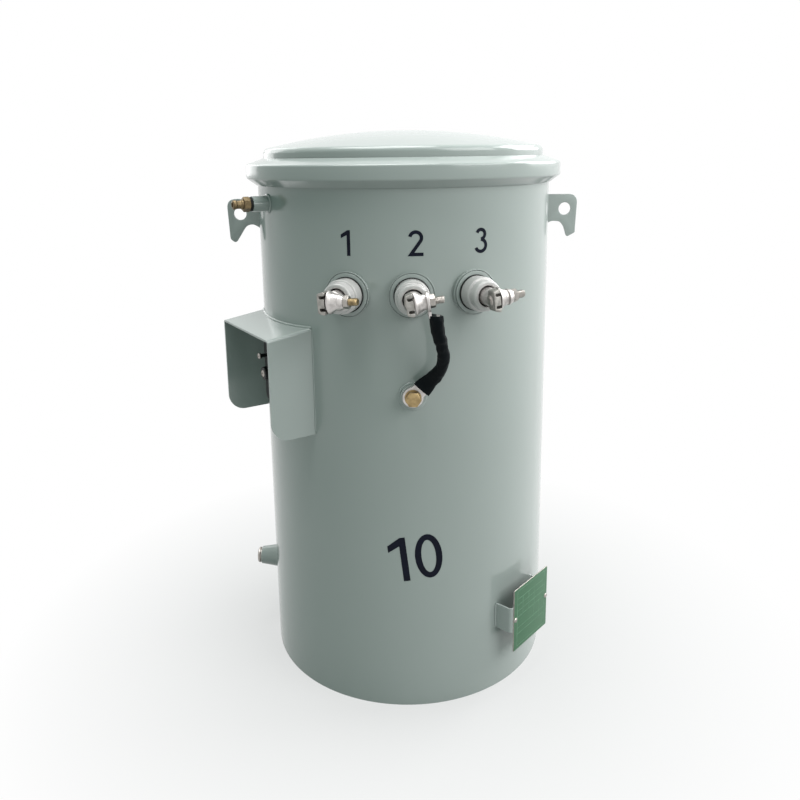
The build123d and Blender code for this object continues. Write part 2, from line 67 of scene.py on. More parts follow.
# Colours, linear
paint_colour = (0.338, 0.366, 0.354)
paint_shade = (0.327, 0.354, 0.342)
porcelain_colour = (0.505, 0.476, 0.472)
rubber_colour = (0.012, 0.013, 0.013)
tin_colour = (0.60, 0.58, 0.56)
stud_colour = (0.35, 0.345, 0.32)
steel_colour = (0.42, 0.40, 0.37)
brass_colour = (0.35, 0.27, 0.15)
valve_colour = (0.180, 0.136, 0.076)
zinc_colour = (0.39, 0.29, 0.145)
sleeve_colour = (0.0012, 0.0028, 0.0038)
plate_colour = (0.050, 0.125, 0.068)
plastic_colour = (0.010, 0.011, 0.012)
mark_colour = (0.004, 0.005, 0.012)
line_colour = (0.125, 0.225, 0.15)
core_colour = (0.2, 0.2, 0.2)
floor_colour = (0.40, 0.40, 0.40)
fill_colour = (0.54, 1.0, 0.84)
fill_strength = 0.28

# The floor's fade to white: its start and end in metres from the part's axis, and its share at the start
fade_start = 0.22
fade_end = 0.62
fade_share = 0.62


def new_material(name):
    """A node material with its shader and a coordinate that follows the part."""
    material = bpy.data.materials.new(name)
    material.use_nodes = True
    tree = material.node_tree
    shader = tree.nodes["Principled BSDF"]
    place = tree.nodes.new("ShaderNodeTexCoord").outputs["Object"]
    return material, tree, shader, place


def add_noise(tree, place, scale, detail=3.0, stretch=None):
    """Noise of the given scale per metre, stretched along an axis where that is asked for."""
    texture = tree.nodes.new("ShaderNodeTexNoise")
    texture.inputs["Scale"].default_value = scale
    texture.inputs["Detail"].default_value = detail
    if stretch:
        mapping = tree.nodes.new("ShaderNodeMapping")
        mapping.inputs["Scale"].default_value = stretch
        tree.links.new(place, mapping.inputs["Vector"])
        place = mapping.outputs["Vector"]
    tree.links.new(place, texture.inputs["Vector"])
    return texture.outputs["Fac"]


def add_ramp(tree, value, stops):
    """Colours along a value: stops are pairs of a position and a linear colour."""
    ramp = tree.nodes.new("ShaderNodeValToRGB")
    elements = ramp.color_ramp.elements
    while len(elements) < len(stops):
        elements.new(0.5)
    for element, (position, colour) in zip(elements, stops):
        element.position = position
        element.color = (*colour, 1.0)
    tree.links.new(value, ramp.inputs["Fac"])
    return ramp.outputs["Color"]


def add_range(tree, value, low, high):
    """A value from 0 to 1 moved to the range from low to high."""
    node = tree.nodes.new("ShaderNodeMapRange")
    node.inputs["To Min"].default_value = low
    node.inputs["To Max"].default_value = high
    tree.links.new(value, node.inputs["Value"])
    return node.outputs["Result"]


def add_bump(tree, shader, heights):
    """Bumps one after another: heights are triples of a value, a strength and a distance in metres."""
    normal = None
    for value, strength, distance in heights:
        bump = tree.nodes.new("ShaderNodeBump")
        bump.inputs["Strength"].default_value = strength
        bump.inputs["Distance"].default_value = distance
        tree.links.new(value, bump.inputs["Height"])
        if normal:
            tree.links.new(normal, bump.inputs["Normal"])
        normal = bump.outputs["Normal"]
    tree.links.new(normal, shader.inputs["Normal"])


def scaled(colour, share):
    """A colour made darker or paler by a share."""
    return tuple(share * part for part in colour)


def add_look(tree, shader, value, stops, grain, low, high):
    """Colours along one value, and a roughness between two bounds along another."""
    tree.links.new(add_ramp(tree, value, stops), shader.inputs["Base Color"])
    tree.links.new(add_range(tree, grain, low, high), shader.inputs["Roughness"])


def make_paint():
    """Glossy pale grey-green enamel on sheet steel."""
    material, tree, shader, place = new_material("tank_enamel")
    cloud = add_noise(tree, place, 4.0, 3.0)
    speck = add_noise(tree, place, 35.0, 3.0)
    add_look(tree, shader, cloud, ((0.35, paint_shade), (0.65, paint_colour)), speck, 0.13, 0.20)
    peel = add_noise(tree, place, 420.0, 1.0)
    wave = add_noise(tree, place, 6.0, 0.0, (1.0, 1.0, 0.4))
    add_bump(tree, shader, ((wave, 0.12, 0.0020), (peel, 0.02, 0.0003)))
    shader.inputs["Coat Weight"].default_value = 0.22
    shader.inputs["Coat Roughness"].default_value = 0.10
    return material


def make_porcelain():
    """White-grey glazed porcelain with faint iron specks."""
    material, tree, shader, place = new_material("glazed_porcelain")
    speck = add_noise(tree, place, 420.0, 2.0)
    darker = scaled(porcelain_colour, 0.72)
    flow = add_noise(tree, place, 90.0, 1.0)
    add_look(tree, shader, speck, ((0.18, darker), (0.36, porcelain_colour)), flow, 0.08, 0.22)
    add_bump(tree, shader, ((flow, 0.12, 0.0006),))
    shader.inputs["Coat Weight"].default_value = 0.5
    shader.inputs["Coat Roughness"].default_value = 0.05
    return material


def make_metal(name, colour, dark_share, roughness, grain_scale):
    """A plated or bare metal with a stained, finely grained surface."""
    material, tree, shader, place = new_material(name)
    stain = add_noise(tree, place, 160.0, 5.0)
    darker = scaled(colour, dark_share)
    grain = add_noise(tree, place, grain_scale, 3.0)
    add_look(tree, shader, stain, ((0.32, darker), (0.62, colour)), grain, *roughness)
    add_bump(tree, shader, ((grain, 0.25, 0.0003),))
    shader.inputs["Metallic"].default_value = 1.0
    return material


def make_rubber(name, colour, low, high, bump, gloss):
    """Black rubber or plastic with a dusty, uneven sheen."""
    material, tree, shader, place = new_material(name)
    dust = add_noise(tree, place, 130.0, 5.0)
    paler = tuple(part + 0.004 for part in colour)
    add_look(tree, shader, dust, ((0.45, colour), (0.85, paler)), dust, low, high)
    grain = add_noise(tree, place, 900.0, 2.0)
    add_bump(tree, shader, ((grain, bump, 0.0003),))
    shader.inputs["Specular IOR Level"].default_value = gloss
    return material


def make_plate():
    """Green anodised plate with a fine brushed grain."""
    material, tree, shader, place = new_material("green_plate")
    grain = add_noise(tree, place, 60.0, 4.0, (1.0, 1.0, 30.0))
    paler = scaled(plate_colour, 1.35)
    add_look(tree, shader, grain, ((0.3, plate_colour), (0.8, paler)), grain, 0.35, 0.5)
    add_bump(tree, shader, ((grain, 0.08, 0.0003),))
    shader.inputs["Specular IOR Level"].default_value = 0.3
    return material


def make_flat_paint(name, colour):
    """Thin paint with a slightly uneven tone."""
    material, tree, shader, place = new_material(name)
    cloud = add_noise(tree, place, 90.0, 4.0)
    paler = scaled(colour, 1.6)
    add_look(tree, shader, cloud, ((0.4, colour), (0.8, paler)), cloud, 0.35, 0.55)
    shader.inputs["Specular IOR Level"].default_value = 0.10
    return material


def add_seen(tree):
    """1 where a surface is seen directly, in gloss or through glass, and 0 where it only gives light."""
    rays = tree.nodes.new("ShaderNodeLightPath")
    seen = rays.outputs["Is Camera Ray"]
    for ray in ("Is Glossy Ray", "Is Transmission Ray"):
        either = tree.nodes.new("ShaderNodeMath")
        either.operation = "MAXIMUM"
        tree.links.new(seen, either.inputs[0])
        tree.links.new(rays.outputs[ray], either.inputs[1])
        seen = either.outputs["Value"]
    return seen


def make_floor():
    """A pale matt floor that keeps the shadow near the part and turns white away from it."""
    material, tree, shader, place = new_material("studio_floor")
    cloud = add_noise(tree, place, 1.5, 2.0)
    darker = scaled(floor_colour, 0.97)
    tree.links.new(add_ramp(tree, cloud, ((0.3, darker), (0.7, floor_colour))), shader.inputs["Base Color"])
    shader.inputs["Roughness"].default_value = 0.9
    shader.inputs["Specular IOR Level"].default_value = 0.0
    distance = tree.nodes.new("ShaderNodeVectorMath")
    distance.operation = "LENGTH"
    tree.links.new(place, distance.inputs[0])
    fade = tree.nodes.new("ShaderNodeMapRange")
    fade.inputs["From Min"].default_value = fade_start
    fade.inputs["From Max"].default_value = fade_end
    fade.inputs["To Min"].default_value = fade_share
    tree.links.new(distance.outputs["Value"], fade.inputs["Value"])
    share = tree.nodes.new("ShaderNodeMath")
    share.operation = "MULTIPLY"
    tree.links.new(add_seen(tree), share.inputs[0])
    tree.links.new(fade.outputs["Result"], share.inputs[1])
    white = tree.nodes.new("ShaderNodeEmission")
    mix = tree.nodes.new("ShaderNodeMixShader")
    tree.links.new(share.outputs["Value"], mix.inputs["Fac"])
    tree.links.new(shader.outputs["BSDF"], mix.inputs[1])
    tree.links.new(white.outputs["Emission"], mix.inputs[2])
    tree.links.new(mix.outputs["Shader"], tree.nodes["Material Output"].inputs["Surface"])
    return material


materials = {
    "tank_paint": make_paint(),
    "core_steel": make_metal("core_steel", core_colour, 0.6, (0.5, 0.7), 300.0),
    "gasket_rubber": make_rubber("gasket_rubber", rubber_colour, 0.5, 0.8, 0.3, 0.22),
    "plated_steel": make_metal("plated_steel", steel_colour, 0.7, (0.22, 0.42), 500.0),
    "tinned_bronze": make_metal("tinned_bronze", tin_colour, 0.66, (0.34, 0.52), 420.0),
    "stud_bronze": make_metal("stud_bronze", stud_colour, 0.66, (0.44, 0.62), 420.0),
    "strap_sleeve": make_rubber("strap_sleeve", sleeve_colour, 0.34, 0.6, 0.2, 0.06),
    "brass": make_metal("brass", brass_colour, 0.55, (0.28, 0.5), 380.0),
    "valve_brass": make_metal("valve_brass", valve_colour, 0.6, (0.35, 0.55), 380.0),
    "yellow_zinc": make_metal("yellow_zinc", zinc_colour, 0.6, (0.3, 0.5), 300.0),
    "plate_green": make_plate(),
    "changer_plastic": make_rubber("changer_plastic", plastic_colour, 0.25, 0.45, 0.1, 0.22),
    "porcelain": make_porcelain(),
    "table_lines": make_flat_paint("table_lines", line_colour),
    "mark_paint": make_flat_paint("mark_paint", mark_colour),
}
for subpart in frame["record"]["subparts"]:
    node = frame["nodes"][subpart["node"]]
    node.data.materials.clear()
    node.data.materials.append(materials[subpart["material_slot"]])


# Sizes repeated from the part's source, in millimetres and degrees
bushing_height = 567.0
middle_roll = 8.0
bushings = (("left", -22.0, 4.0), ("middle", 0.0, middle_roll), ("right", 22.0, 6.0))
porcelain_seat = 212.0
porcelain_step = 228.0
porcelain_front = 240.5
boss_face = porcelain_seat - 2.0
clamp_reach = 260.5
keeper_back = 14.0
keeper_half_height = 14.0
keeper_half_length = 11.0
nut_height = 6.5
strap_stack = 3.7
lug_thickness = 3.5
ground_height = 440.0
ground_face = 210.0
lug_top = 674.0
lug_half = 3.0
hood_azimuth = -60.0
hood_top = 517.0
hood_bottom = 377.0
hood_half = 78.0
hood_fall = 6.5 / 45.0
changer_seat = tank_radius + 10.0
knob_level = hood_top - 70.0
pin_level = knob_level + 25.0
relief_azimuth = -62.4
relief_height = 672.5
relief_seat = 230.0
drain_azimuth = -96.0
drain_height = 104.0
drain_seat = tank_radius + 29.0
plate_azimuth = 47.0
plate_height = 107.6
plate_seat = 225.0
plate_half_width = 43.25
plate_half_height = 46.25
bracket_middle = plate_height + 2.0
bracket_half_height = 17.5
band_middle = 712.75
band_sheet = 2.0
band_opening = 14.0
band_bolt_offset = 12.0
band_ear_thickness = 6.0
hanger_middle = 430.0
hanger_spacing = 285.75
hanger_half = 48.0
hanger_half_height = 34.5

# Sizes of the scene's own forms, in millimetres
porcelain_radius = 21.3
nose_radius = 18.6
mouth_radius = 12.8
mouth_floor = porcelain_front - 8.0
gasket_radius = 22.3
boss_radius = 28.4
boss_bore = 17.2
stud_bore = 11.4
stud_radius = 11.0
stud_start = 206.0
collar_height = 5.5
bracket_weld_half = 48.3
band_line = ((-23.3, 16.1, 0), (-1.0, 8.3, 2.2), (-1.0, -8.5, 2.2), (-13.6, -17.7, 0))
bevel_steps = 2
join_distance = 0.002
bead_flatness = 0.75
bead_ripple = 0.07
bead_unevenness = 0.16


def outward(azimuth, height, reach=0.0):
    """A place at a reach from the tank's axis: Z points outward, X to the right seen from outside, Y up."""
    turn = math.radians(azimuth)
    away = Vector((math.sin(turn), -math.cos(turn), 0.0))
    across = Vector((math.cos(turn), math.sin(turn), 0.0))
    axes = Matrix((across, Vector((0.0, 0.0, 1.0)), away)).transposed().to_4x4()
    return Matrix.Translation(away * reach + Vector((0.0, 0.0, height))) @ axes


def turned(angle, axis):
    """A turn by an angle in degrees about an axis."""
    return Matrix.Rotation(math.radians(angle), 4, axis)


def shifted(x, y, z):
    """A move along the axes."""
    return Matrix.Translation((x, y, z))


def rounded(corners, closed=True, steps=4):
    """A line through corners, each given as x, y and the length over which it is rounded."""
    points = []
    count = len(corners)
    most_cut = 0.49
    for index, (x, y, radius) in enumerate(corners):
        here = Vector((x, y))
        if radius == 0 or (not closed and index in (0, count - 1)):
            points.append(here)
            continue
        before = Vector(corners[index - 1][:2]) - here
        after = Vector(corners[(index + 1) % count][:2]) - here
        half = before.angle(after) / 2
        cut = min(radius / math.tan(half), most_cut * min(before.length, after.length))
        start = here + before.normalized() * cut
        end = here + after.normalized() * cut
        for step in range(steps + 1):
            share = step / steps
            points.append(start * (1 - share) ** 2 + here * 2 * share * (1 - share) + end * share ** 2)
    return points


def full_turn(count):
    """Equally spaced angles round a circle."""
    return [2 * math.pi * step / count for step in range(count)]


def oval(x, y, half_width, half_height, count=48):
    """A closed ring of points."""
    return [Vector((x + half_width * math.cos(turn), y + half_height * math.sin(turn)))
            for turn in full_turn(count)]


def circle(x, y, radius, count=40):
    """A closed ring of points at one radius."""
    return oval(x, y, radius, radius, count)


def arc(x, y, radius, first, last, count=20):
    """Points along an arc between two angles in degrees."""
    turns = [math.radians(first + (last - first) * step / count) for step in range(count + 1)]
    return [Vector((x + radius * math.cos(turn), y + radius * math.sin(turn))) for turn in turns]


def ribbon(points, width):
    """The outline of a stroke along points."""
    left, right = [], []
    last = len(points) - 1
    least_spread = 0.45
    for index, point in enumerate(points):
        before = (point - points[index - 1]).normalized() if index else Vector((0.0, 0.0))
        after = (points[index + 1] - point).normalized() if index < last else Vector((0.0, 0.0))
        way = (before + after).normalized()
        spread = max(least_spread, way.dot(after if index < last else before))
        side = Vector((-way.y, way.x)) * (width / 2 / spread)
        left.append(point + side)
        right.append(point - side)
    return left + right[::-1]


def signed_area(points):
    """The area inside a closed line, above zero where the line runs anticlockwise."""
    return sum(a.x * b.y - b.x * a.y for a, b in zip(points, points[1:] + points[:1])) / 2


def add_skin(shape, rings, wrap=False):
    """Joins rings of equally many points; its ends are closed, or joined where wrap is set."""
    rows = [[shape.verts.new(point) for point in ring] for ring in rings]
    pairs = list(zip(rows, rows[1:]))
    if wrap:
        pairs.append((rows[-1], rows[0]))
    for lower, upper in pairs:
        for index in range(len(lower)):
            after = (index + 1) % len(lower)
            shape.faces.new((lower[index], lower[after], upper[after], upper[index]))
    if not wrap:
        shape.faces.new(rows[0][::-1])
        shape.faces.new(rows[-1])


def add_lathe(shape, place, profile, wrap=False, count=64, flute=0.0, flutes=1):
    """Turns a profile of radii and heights about Z, with shallow flutes where they are asked for."""
    rings = []
    for radius, height in profile:
        ring = []
        for turn in full_turn(count):
            reach = radius * (1 - flute * (0.5 - 0.5 * math.cos(flutes * turn)))
            ring.append(place @ Vector((reach * math.cos(turn), reach * math.sin(turn), height)))
        rings.append(ring)
    add_skin(shape, rings, wrap)


def add_hex(shape, place, flats, start, end, chamfers=(False, True)):
    """A hexagon bar along Z with turned chamfers at the ends that ask for one."""
    count = 72
    chamfer_share = 0.93
    chamfer_slope = 0.55
    flat_turn = math.pi / 3
    inner = chamfer_share * flats / 2
    turns = full_turn(count)
    reaches = [flats / 2 / math.cos((turn + flat_turn / 2) % flat_turn - flat_turn / 2) for turn in turns]

    def ring(radii, heights):
        return [place @ Vector((radius * math.cos(turn), radius * math.sin(turn), height))
                for turn, radius, height in zip(turns, radii, heights)]

    falls = [chamfer_slope * (reach - inner) for reach in reaches]
    flush = [inner] * count
    rings = [ring(reaches, [start] * count)]
    if chamfers[0]:
        rings = [ring(flush, [start] * count), ring(reaches, [start + fall for fall in falls])]
    if chamfers[1]:
        rings += [ring(reaches, [end - fall for fall in falls]), ring(flush, [end] * count)]
    else:
        rings.append(ring(reaches, [end] * count))
    add_skin(shape, rings)


def add_thread(shape, place, radius, start, end, pitch, depth, count=32):
    """A bar along Z with a helical thread and a chamfered end."""
    rows_per_pitch = 8
    steps = int((end - start) / pitch * rows_per_pitch)
    rings = []
    for row in range(steps + 1):
        height = start + (end - start) * row / steps
        taper = max(0.0, height - end + pitch) / pitch
        ring = []
        for step in range(count):
            share = step / count
            phase = (height / pitch - share) % 1.0
            reach = radius - depth * abs(2 * phase - 1) - taper * depth
            turn = 2 * math.pi * share
            ring.append(place @ Vector((reach * math.cos(turn), reach * math.sin(turn), height)))
        rings.append(ring)
    add_skin(shape, rings)


def add_plate(shape, place, outlines, low, high, bevel):
    """A bevelled plate between two heights along Z; the first outline is its rim, the others are holes."""
    data = bpy.data.curves.new("outline", "CURVE")
    data.dimensions = "2D"
    data.fill_mode = "BOTH"
    data.extrude = (high - low) / 2 - bevel
    data.bevel_depth = bevel
    data.bevel_resolution = bevel_steps
    data.offset = -bevel
    for index, outline in enumerate(outlines):
        if (signed_area(outline) > 0) == (index > 0):
            outline = outline[::-1]
        spline = data.splines.new("POLY")
        spline.points.add(len(outline) - 1)
        for point, (x, y) in zip(spline.points, outline):
            point.co = (x, y, 0.0, 1.0)
        spline.use_cyclic_u = True
    holder = bpy.data.objects.new("outline", data)
    mesh = bpy.data.meshes.new_from_object(holder)
    mesh.transform(place @ shifted(0.0, 0.0, (low + high) / 2))
    plate = bmesh.new()
    plate.from_mesh(mesh)
    bmesh.ops.remove_doubles(plate, verts=plate.verts, dist=join_distance)
    plate.to_mesh(mesh)
    plate.free()
    shape.from_mesh(mesh)
    bpy.data.objects.remove(holder)
    bpy.data.curves.remove(data)
    bpy.data.meshes.remove(mesh)


def add_bar(shape, place, corner, far_corner, bevel):
    """A bevelled bar between two corners."""
    (x0, y0, z0), (x1, y1, z1) = corner, far_corner
    outline = [Vector(point) for point in ((x0, y0), (x1, y0), (x1, y1), (x0, y1))]
    add_plate(shape, place, [outline], z0, z1, bevel)


def add_bead(shape, points, width, closed, seed):
    """A rippled weld bead along points on the tank, which thins at its ends where it isn't closed."""
    count = len(points)
    rings = []
    along = 0.0
    for index, point in enumerate(points):
        before = points[index - 1] if closed or index else point
        after = points[(index + 1) % count] if closed or index + 1 < count else point
        tangent = (after - before).normalized()
        if index:
            along += (point - points[index - 1]).length
        away = Vector((point.x, point.y, 0.0)).normalized()
        away = (away - tangent * away.dot(tangent)).normalized()
        side = tangent.cross(away)
        ripple = 1 + bead_ripple * math.sin(along * 2.1 + seed)
        ripple += bead_unevenness * noise.noise(point * 0.09 + Vector((seed, 0, 0)))
        if not closed:
            ripple *= min(1.0, 0.35 + 0.4 * min(index, count - 1 - index))
        reach = width * ripple
        rings.append([point + reach * (bead_flatness * math.cos(turn) * away + math.sin(turn) * side)
                      for turn in full_turn(10)])
    add_skin(shape, rings, closed)


def on_tank(azimuth, across, height, lift=0.0):
    """A point of the tank's wall, at a distance across from the line at an azimuth."""
    reach = math.sqrt((tank_radius + lift) ** 2 - across ** 2)
    return outward(azimuth, height) @ Vector((across, 0.0, reach))


def ring_on_tank(azimuth, height, radius, lift):
    """A closed line where a round stub of the given radius meets the tank."""
    ring = circle(0.0, height, radius, max(48, int(radius * 5)))
    return [on_tank(azimuth, across, level, lift) for across, level in ring]


def line_on_tank(azimuth, across, low, high, lift, step=1.2):
    """An upright line on the tank."""
    count = int((high - low) / step)
    return [on_tank(azimuth, across, low + (high - low) * index / count, lift) for index in range(count + 1)]


def make_piece(name, shape, look, sharp=32.0):
    """A piece that rides on the part, from a shape in millimetres; its slot is its look or another."""
    bmesh.ops.recalc_face_normals(shape, faces=shape.faces)
    mesh = bpy.data.meshes.new(name)
    shape.to_mesh(mesh)
    shape.free()
    mesh.transform(Matrix.Scale(MM, 4))
    mesh.shade_smooth()
    mesh.set_sharp_from_angle(angle=math.radians(sharp))
    mesh.materials.append(materials[look])
    piece = bpy.data.objects.new(name, mesh)
    bpy.context.scene.collection.objects.link(piece)
    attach(piece, "root")
    return piece


def make_stand_in(name, shape, look):
    """A piece that takes the place of the node of its own name."""
    piece = make_piece(name, shape, look)
    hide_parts(name)
    return piece


def make_ring_weld(name, azimuth, height, radius, lift, width, seed):
    """A bead where a round stub meets the tank."""
    weld = bmesh.new()
    add_bead(weld, ring_on_tank(azimuth, height, radius, lift), width, True, seed)
    make_piece(name, weld, "tank_paint")


def make_line_welds(name, azimuth, half, low, high, lift, width):
    """Two upright beads on the tank, at a distance to either side of an azimuth."""
    weld = bmesh.new()
    for across in (-half, half):
        add_bead(weld, line_on_tank(azimuth, across, low, high, lift), width, False, across)
    make_piece(name, weld, "tank_paint")


def make_boss(name, azimuth):
    """The flat boss that a bushing sits on, with a fine groove inside its rim."""
    base = tank_radius - 2.4
    groove = boss_face - 2.2
    corners = ((boss_bore, base, 0), (boss_radius - 1.0, base, 0), (boss_radius, boss_face - 0.8, 0.4),
               (27.6, boss_face - 0.6, 0.3), (27.5, groove, 0), (26.5, groove, 0), (26.4, boss_face, 0.3),
               (boss_bore, boss_face, 0))
    boss = bmesh.new()
    add_lathe(boss, outward(azimuth, bushing_height), rounded(corners, steps=3), wrap=True, count=96)
    make_stand_in("bushing_boss_" + name, boss, "tank_paint")


def make_porcelain_pieces(name, azimuth):
    """A stepped bushing with a rounded lip, a black ring in its mouth that paints the shade of the gap round
    the stud, and the gasket behind it.
    """
    place = outward(azimuth, bushing_height)
    corners = ((stud_bore, porcelain_seat, 0), (porcelain_radius, porcelain_seat, 0.8),
               (porcelain_radius, porcelain_step, 3.0), (nose_radius, porcelain_step + 0.8, 1.0),
               (nose_radius, porcelain_front, 3.4), (mouth_radius, porcelain_front, 1.6),
               (mouth_radius, mouth_floor, 0.6), (stud_bore, mouth_floor, 0))
    body = bmesh.new()
    add_lathe(body, place, rounded(corners, steps=6), wrap=True, count=72)
    make_stand_in("bushing_porcelain_" + name, body, "porcelain")
    # A black ring round the stud at the floor of the mouth: painted shade for the dark gap between the stud
    # and the bore
    front = mouth_floor + 4.0
    ring = ((11.1, mouth_floor, 0), (12.7, mouth_floor, 0), (12.7, front, 0.8), (11.1, front, 0.6))
    seal = bmesh.new()
    add_lathe(seal, place, rounded(ring, steps=3), wrap=True, count=48)
    make_piece("stud_gap_shade_ring_" + name, seal, "gasket_rubber")
    ring = ((boss_bore, boss_face, 0), (gasket_radius, boss_face, 0.4),
            (gasket_radius, porcelain_seat, 0.7), (boss_bore, porcelain_seat, 0))
    gasket = bmesh.new()
    add_lathe(gasket, place, rounded(ring, steps=3), wrap=True, count=72)
    make_stand_in("bushing_gasket_" + name, gasket, "gasket_rubber")


def make_stud(name, clamp):
    """A tinned round stud, half of its end carried on, and a duller flat jaw with two notches."""
    stem = ((stud_radius, stud_start - clamp_reach, 0), (stud_radius, -11.0, 1.4), (8.0, -10.4, 0))
    stud = bmesh.new()
    add_lathe(stud, clamp, rounded(stem, closed=False), count=48)
    add_plate(stud, clamp, [arc(0.0, 0.0, stud_radius - 0.1, 96.0, 264.0, 24)], -13.0, -3.0, 0.3)
    for face in stud.faces:
        face.material_index = 1
    front, notch, back = -1.0, -7.4, -9.8
    lower = ((back, -11.5, 3.0), (front, -14.0, 1.6), (front, -8.9, 0.8), (notch, -8.9, 1.0),
             (notch, -5.5, 1.0), (front, -5.5, 0.8))
    upper = tuple((x, -y, radius) for x, y, radius in reversed(lower))
    add_plate(stud, clamp, [rounded(lower + upper)], -3.5, 11.0, 0.7)
    piece = make_stand_in("terminal_stud_" + name, stud, "stud_bronze")
    piece.data.materials.append(materials["tinned_bronze"])


def make_keeper(name, bolt_line):
    """The domed keeper that the bolt draws towards the jaw."""
    rim = keeper_half_height
    profile = ((rim - 0.8, 0.5, 0), (rim, 0.5, 0.6), (rim, 2.4, 1.0), (11.2, 5.5, 3.0), (9.4, 9.5, 3.0),
               (9.0, keeper_back, 0.6), (4.0, keeper_back, 0))
    narrowed = bolt_line @ Matrix.Diagonal((keeper_half_length / keeper_half_height, 1.0, 1.0, 1.0))
    keeper = bmesh.new()
    add_lathe(keeper, narrowed, rounded(profile, closed=False), count=56)
    make_stand_in("terminal_keeper_" + name, keeper, "tinned_bronze")


def make_bolt(name, bolt_line):
    """A square-necked bolt, its nut and threaded end, and a collar where no strap lies under the nut."""
    strapped = name == "middle"
    nut_start = keeper_back + (strap_stack if strapped else collar_height)
    nut_end = nut_start + nut_height
    head = ((1.5, -11.6), (4.0, -11.3), (6.2, -10.4), (7.5, -9.2), (7.5, -8.5))
    bolt = bmesh.new()
    add_lathe(bolt, bolt_line, head, count=40)
    add_bar(bolt, bolt_line, (-5.2, -5.2, -2.3), (5.2, 5.2, 9.3), 0.8)
    add_hex(bolt, bolt_line, flats=14.0, start=nut_start, end=nut_end, chamfers=(True, True))
    make_stand_in("terminal_bolt_" + name, bolt, "plated_steel")
    thread = bmesh.new()
    add_thread(thread, bolt_line, radius=4.6, start=nut_end - 0.5, end=nut_end + 10.5, pitch=1.6, depth=0.6)
    make_piece("bolt_thread_" + name, thread, "brass" if name == "left" else "plated_steel")
    if not strapped:
        low = keeper_back - 1.0
        ring = ((4.2, low, 0), (9.6, low, 0.6), (9.6, keeper_back + 1.2, 0.8), (7.6, nut_start, 0.8),
                (4.2, nut_start, 0))
        collar = bmesh.new()
        add_lathe(collar, bolt_line, rounded(ring), wrap=True, count=40)
        make_piece("terminal_collar_" + name, collar, "tinned_bronze")


def make_bushings():
    """The three bushings, with their bosses and clamp terminals."""
    for name, azimuth, roll in bushings:
        make_boss(name, azimuth)
        make_porcelain_pieces(name, azimuth)
        clamp = outward(azimuth, bushing_height) @ turned(roll, "Z") @ shifted(0.0, 0.0, clamp_reach)
        bolt_line = clamp @ turned(90.0, "Y")
        make_stud(name, clamp)
        make_keeper(name, bolt_line)
        make_bolt(name, bolt_line)


# The bonding strap's places: its lugs lie in the XY plane with their stubs along -Y
strap_roll = outward(0.0, bushing_height) @ turned(middle_roll, "Z")
strap_upper = strap_roll @ shifted(keeper_back, 0.0, clamp_reach) @ turned(90.0, "Y")
ground_lug_turn = 138.0
strap_lower = outward(0.0, ground_height, ground_face) @ turned(ground_lug_turn, "Z")
strap_lift = 7.5
strap_lug_radius = 12.5
ground_lug_radius = 13.0
upper_palm = 16.3
upper_sleeve = 16.9
upper_drop = 19.0
lower_palm = 15.3
lower_sleeve = 15.3
lower_drop = 14.0
strap_lead = 14.0
strap_middle = ((33.0, -248.5, 513.0), (36.5, -239.0, 494.0), (31.0, -225.0, 475.0))


def strap_spline():
    """Points of the strap's smooth line, read from a spline through its route."""
    upper_drops = (upper_sleeve, upper_drop + strap_lead)
    lower_drops = (lower_drop + strap_lead, lower_sleeve)
    upper = [strap_upper @ Vector((0.0, -drop, strap_lift)) for drop in upper_drops]
    lower = [strap_lower @ Vector((0.0, -drop, strap_lift)) for drop in lower_drops]
    route = upper + [Vector(point) for point in strap_middle] + lower
    data = bpy.data.curves.new("strap_line", "CURVE")
    data.dimensions = "3D"
    data.resolution_u = 24
    spline = data.splines.new("NURBS")
    spline.points.add(len(route) - 1)
    for point, place in zip(spline.points, route):
        point.co = (*place, 1.0)
    spline.order_u = 3
    spline.use_endpoint_u = True
    holder = bpy.data.objects.new("strap_line", data)
    mesh = bpy.data.meshes.new_from_object(holder)
    points = [vertex.co.copy() for vertex in mesh.vertices]
    bpy.data.objects.remove(holder)
    bpy.data.curves.remove(data)
    bpy.data.meshes.remove(mesh)
    return points


def between(share, stops):
    """A value between stops, which are pairs of a share and a value."""
    for (start, low), (end, high) in zip(stops, stops[1:]):
        if share <= end:
            part = (share - start) / (end - start)
            part = part * part * (3 - 2 * part)
            return low + (high - low) * part
    return stops[-1][1]


def make_sleeve():
    """The strap's shrunk black sleeve, wrinkled at its bends and flat at its lower end."""
    points = strap_spline()
    widths = ((0.0, 8.4), (0.14, 8.0), (0.3, 7.4), (0.6, 7.5), (0.8, 9.0), (1.0, 12.0))
    depths = ((0.0, 7.4), (0.14, 7.6), (0.3, 7.2), (0.75, 7.2), (1.0, 4.6))
    rings = []
    last = len(points) - 1
    for index, point in enumerate(points):
        share = index / last
        tangent = (points[min(index + 1, last)] - points[max(index - 1, 0)]).normalized()
        away = Vector((0.0, -1.0, 0.0))
        away = (away - tangent * away.dot(tangent)).normalized()
        side = tangent.cross(away)
        crumple = 1.0 + 1.6 * math.exp(-(share / 0.10) ** 2)
        wrinkle = 0.45 * math.exp(-((share - 0.24) / 0.12) ** 2)
        dent = 1.3 * math.exp(-((share - 0.33) / 0.035) ** 2)
        slant = 2.2 * max(0.0, 1.0 - share / 0.14)
        ring = []
        for turn in full_turn(36):
            across, out = math.cos(turn), math.sin(turn)
            spot = Vector((across * 1.3, out * 1.3, share * 9.0))
            reach = (noise.noise(spot) * 0.7 + noise.noise(spot * 2.7) * 0.35) * crumple
            reach += wrinkle * math.sin(share * 62.0 + 1.5 * out)
            reach -= dent * max(0.0, math.cos(turn + 2.6))
            wide = (between(share, widths) + reach) * across
            deep = (between(share, depths) + reach) * out
            ring.append(point + wide * side + deep * away - slant * across * tangent)
        rings.append(ring)
    sleeve = bmesh.new()
    add_skin(sleeve, rings)
    piece = make_piece("bonding_sleeve", sleeve, "strap_sleeve", sharp=60.0)
    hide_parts("bonding_strap")


